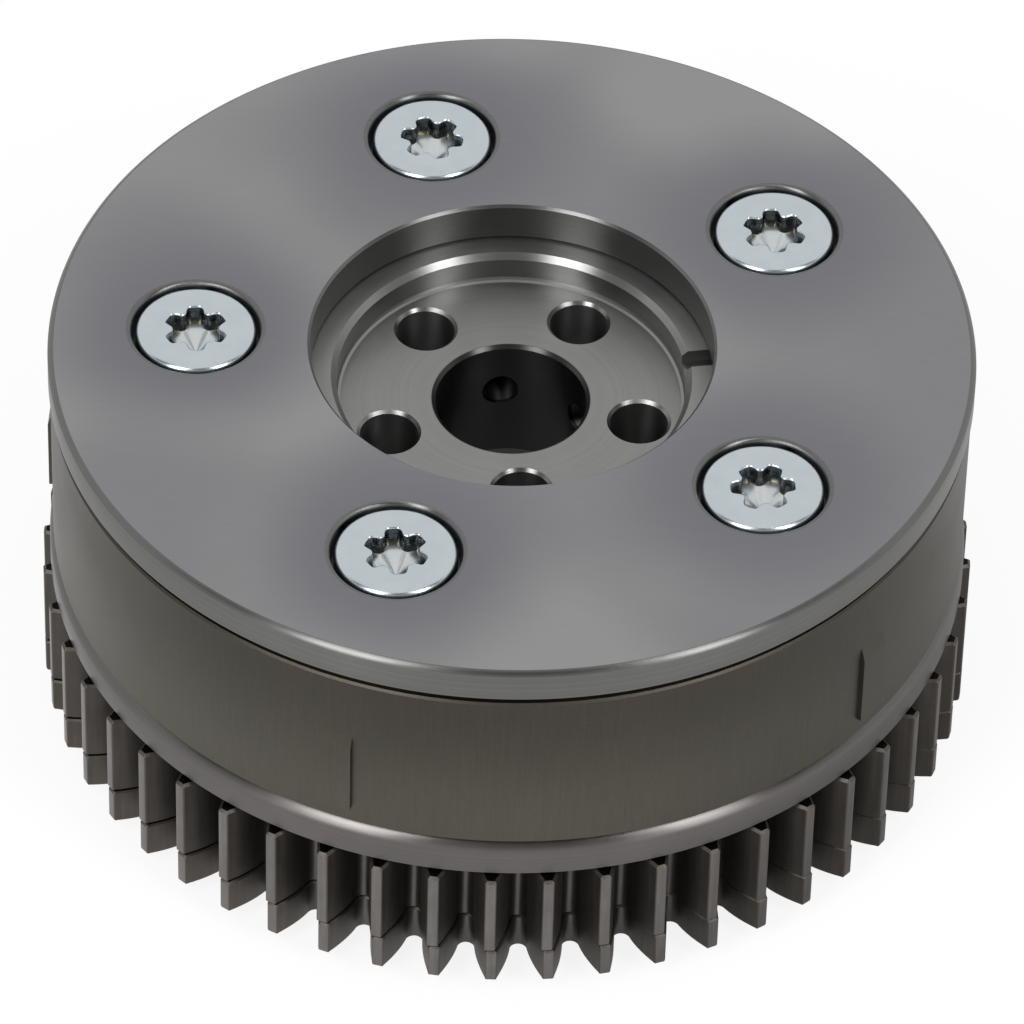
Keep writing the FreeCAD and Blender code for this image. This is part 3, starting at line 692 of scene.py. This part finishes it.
finishes = {
    "cover_steel": coverEdge, "sintered_iron": housingIron, "gear_steel": flangeSteel,
    "rotor_steel": rotorSteel, "zinc_screw": zinc, "pin_steel": pinSteel,
    "spring_steel": springSteel, "seal_polymer": sealPolymer,
}
for part in frame["record"]["subparts"]:
    mesh = nodes[part["node"]].data
    mesh.materials.clear()
    mesh.materials.append(finishes[part["material_slot"]])
print("carried nodes dressed")

# gears, cover and screws in place of their plain solids
gears = ((buildDriveGear(), "drive_gear", "housing"), (buildSubGear(), "sub_gear", "sub_gear"))
for made, node, body in gears:
    smoothBy(made, 30)
    made.data.materials.append(flangeSteel)
    made.data.materials.append(toothSteel)
    for polygon in made.data.polygons:
        out = Vector((polygon.center.x, polygon.center.y)).length
        if out > driveGear["neck"] * mm and polygon.center.z < (driveGear["top"] + 0.1) * mm:
            polygon.material_index = 1    # the teeth
    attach(made, body)
    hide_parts(node)
made = buildCover()
smoothBy(made, 30)
made.data.materials.append(coverEdge)
made.data.materials.append(coverFace)
for polygon in made.data.polygons:
    if polygon.normal.z > 0.999:
        polygon.material_index = 1    # the flat top, ground
        polygon.use_smooth = False
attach(made, "housing")
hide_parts("front_cover")
for number in range(screw["count"]):
    made = buildScrew(number)
    smoothBy(made, 35)
    made.data.materials.append(zinc)
    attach(made, "housing")
    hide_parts("cover_screw_%d" % (number + 1))
print("gears, cover and screws built")


# studio: pale floor, white surroundings, two softboxes that put the streaks on the round edges

studio = {
    "floorSize": 6.0, "floorDrop": 0.05,    # m, and mm below the part
    "worldLevel": 0.75, "paperLevel": 0.9,
    "paperGlow": 0.86, "mirroredGlow": 0.8,    # the shares of plain white where the camera or metal sees it
    "softboxes": (
        {"name": "leftSoftbox", "azimuth": -36.0, "elevation": 41.0, "power": 3.4, "width": 0.26},
        {"name": "rightSoftbox", "azimuth": 47.0, "elevation": 40.0, "power": 2.6, "width": 0.2},
    ),
    "softboxDistance": 0.8, "softboxHeight": 0.5,
    # dark card behind the camera and the softboxes, which mirror-like edges show
    "cardDistance": 1.5, "cardAzimuth": (-85.0, 90.0), "cardElevation": (28.0, 66.0), "cardLevel": 0.13,
    # mm: metal mirrors less light from the paper under the part and close beside it on the right
    "shadeMiddle": (30.0, -5.0), "shadeRadius": (36.0, 72.0), "shadeLevel": 0.35,
}


def towards(azimuth, elevation):
    # azimuth from the front, anticlockwise seen from above
    return Vector((math.sin(azimuth) * math.cos(elevation), -math.cos(azimuth) * math.cos(elevation),
                   math.sin(elevation)))


def plainPathRay(tree):
    # one where the camera or a mirror-like ray looks, nought for the soft light on the object
    path = addNode(tree, "LightPath")
    seen = addNode(tree, "Math", {}, {0: path.outputs["Is Camera Ray"], 1: path.outputs["Is Glossy Ray"]},
                   operation="MAXIMUM")
    return addNode(tree, "Math", {}, {0: seen.outputs[0], 1: path.outputs["Is Transmission Ray"]},
                   operation="MAXIMUM")


world = bpy.data.worlds.new("studioWorld")
bpy.context.scene.world = world
world.use_nodes = True
world.node_tree.nodes.clear()
seen = plainPathRay(world.node_tree)
level = addNode(world.node_tree, "MapRange", {"To Min": studio["worldLevel"], "To Max": 1.0},
                {"Value": seen.outputs[0]})
sky = addNode(world.node_tree, "Background", {"Color": (1, 1, 1, 1)}, {"Strength": level.outputs[0]})
addNode(world.node_tree, "OutputWorld", links={"Surface": sky.outputs[0]})

half = studio["floorSize"] / 2
floorMesh = bpy.data.meshes.new("studioFloor")
floorMesh.from_pydata([(-half, -half, 0), (half, -half, 0), (half, half, 0), (-half, half, 0)], [],
                      [(0, 1, 2, 3)])
floorPiece = bpy.data.objects.new("studioFloor", floorMesh)
floorPiece.location.z = -studio["floorDrop"] * mm
bpy.context.scene.collection.objects.link(floorPiece)
floorPaint, tree = newMaterial("paleFloorPaper")
paperLevel = studio["paperLevel"]
paper = addNode(tree, "BsdfDiffuse", {"Color": (paperLevel, paperLevel, paperLevel, 1)})
under = addNode(tree, "TexCoord")
shadeX, shadeY = studio["shadeMiddle"]
innerShade, outerShade = studio["shadeRadius"]
fromShade = addNode(tree, "VectorMath", {1: (shadeX * mm, shadeY * mm, 0)}, {0: under.outputs["Object"]},
                    operation="DISTANCE")
clearPaper = addNode(tree, "MapRange", {"From Min": innerShade * mm, "From Max": outerShade * mm,
                                        "To Min": studio["shadeLevel"]},
                     {"Value": fromShade.outputs["Value"]}, interpolation_type="SMOOTHSTEP")
path = addNode(tree, "LightPath")
# white to the camera, less to mirror-like rays on the shaded paper beside the part
brightness = addNode(tree, "MapRange", {"To Min": 1.0},
                     {"Value": path.outputs["Is Glossy Ray"], "To Max": clearPaper.outputs[0]})
glow = addNode(tree, "Emission", {"Strength": 1.0}, {"Color": brightness.outputs[0]})
mirrored = addNode(tree, "Math", {1: studio["mirroredGlow"]}, {0: path.outputs["Is Glossy Ray"]},
                   operation="MULTIPLY")
direct = addNode(tree, "Math", {}, {0: path.outputs["Is Camera Ray"], 1: path.outputs["Is Transmission Ray"]},
                 operation="MAXIMUM")
plain = addNode(tree, "Math", {1: studio["paperGlow"]}, {0: direct.outputs[0]}, operation="MULTIPLY")
share = addNode(tree, "Math", {}, {0: mirrored.outputs[0], 1: plain.outputs[0]}, operation="MAXIMUM")
floorMix = addNode(tree, "MixShader", {}, {0: share.outputs[0], 1: paper.outputs[0], 2: glow.outputs[0]})
finishMaterial(tree, floorMix)
floorMesh.materials.append(floorPaint)

middle = (cadLow + cadHigh) / 2
for box in studio["softboxes"]:
    lamp = bpy.data.lights.new(box["name"], "AREA")
    lamp.shape = "RECTANGLE"
    lamp.size = box["width"]
    lamp.size_y = studio["softboxHeight"]
    lamp.energy = box["power"]
    holder = bpy.data.objects.new(box["name"], lamp)
    away = towards(math.radians(box["azimuth"]), math.radians(box["elevation"]))
    holder.location = middle + away * studio["softboxDistance"]
    holder.rotation_mode = "QUATERNION"
    holder.rotation_quaternion = (-away).to_track_quat("-Z", "Y")
    bpy.context.scene.collection.objects.link(holder)

cardSteps = 8
lowEdge, highEdge = studio["cardElevation"]
leftEdge, rightEdge = studio["cardAzimuth"]
cardPoints = []
for row in range(cardSteps + 1):
    elevation = math.radians(lowEdge + (highEdge - lowEdge) * row / cardSteps)
    for column in range(cardSteps + 1):
        azimuth = math.radians(leftEdge + (rightEdge - leftEdge) * column / cardSteps)
        cardPoints.append(towards(azimuth, elevation) * studio["cardDistance"])
cardFaces = []
for row in range(cardSteps):
    for column in range(cardSteps):
        corner = row * (cardSteps + 1) + column
        cardFaces.append((corner, corner + 1, corner + cardSteps + 2, corner + cardSteps + 1))
cardMesh = bpy.data.meshes.new("darkCard")
cardMesh.from_pydata(cardPoints, [], cardFaces)
card = bpy.data.objects.new("darkCard", cardMesh)
bpy.context.scene.collection.objects.link(card)
cardPaint, tree = newMaterial("darkCardPaper")
cardLevel = studio["cardLevel"]
cardGlow = addNode(tree, "Emission", {"Color": (cardLevel, cardLevel, cardLevel, 1), "Strength": 1.0})
finishMaterial(tree, cardGlow)
cardMesh.materials.append(cardPaint)
card.visible_camera = False
card.visible_diffuse = False
card.visible_shadow = False

# camera at the photograph's viewing angle: metres, degrees and a lens in mm
view = {"place": (0.0, -0.7129, 0.7233), "lookDown": 44.4458, "turn": 0.0392, "roll": 1.5659, "lens": 301.87}
camera = bpy.data.cameras.new("photoCamera")
camera.lens = view["lens"]
camera.sensor_width = 36.0
camera.clip_end = 20.0
cameraHolder = bpy.data.objects.new("photoCamera", camera)
aim = (Matrix.Rotation(math.radians(-view["turn"]), 4, "Z")
       @ Matrix.Rotation(math.radians(90 - view["lookDown"]), 4, "X")
       @ Matrix.Rotation(math.radians(view["roll"]), 4, "Z"))
cameraHolder.matrix_world = Matrix.Translation(Vector(view["place"])) @ aim
bpy.context.scene.collection.objects.link(cameraHolder)
bpy.context.scene.camera = cameraHolder
bpy.context.scene.view_settings.view_transform = "Standard"
print("studio and camera ready")
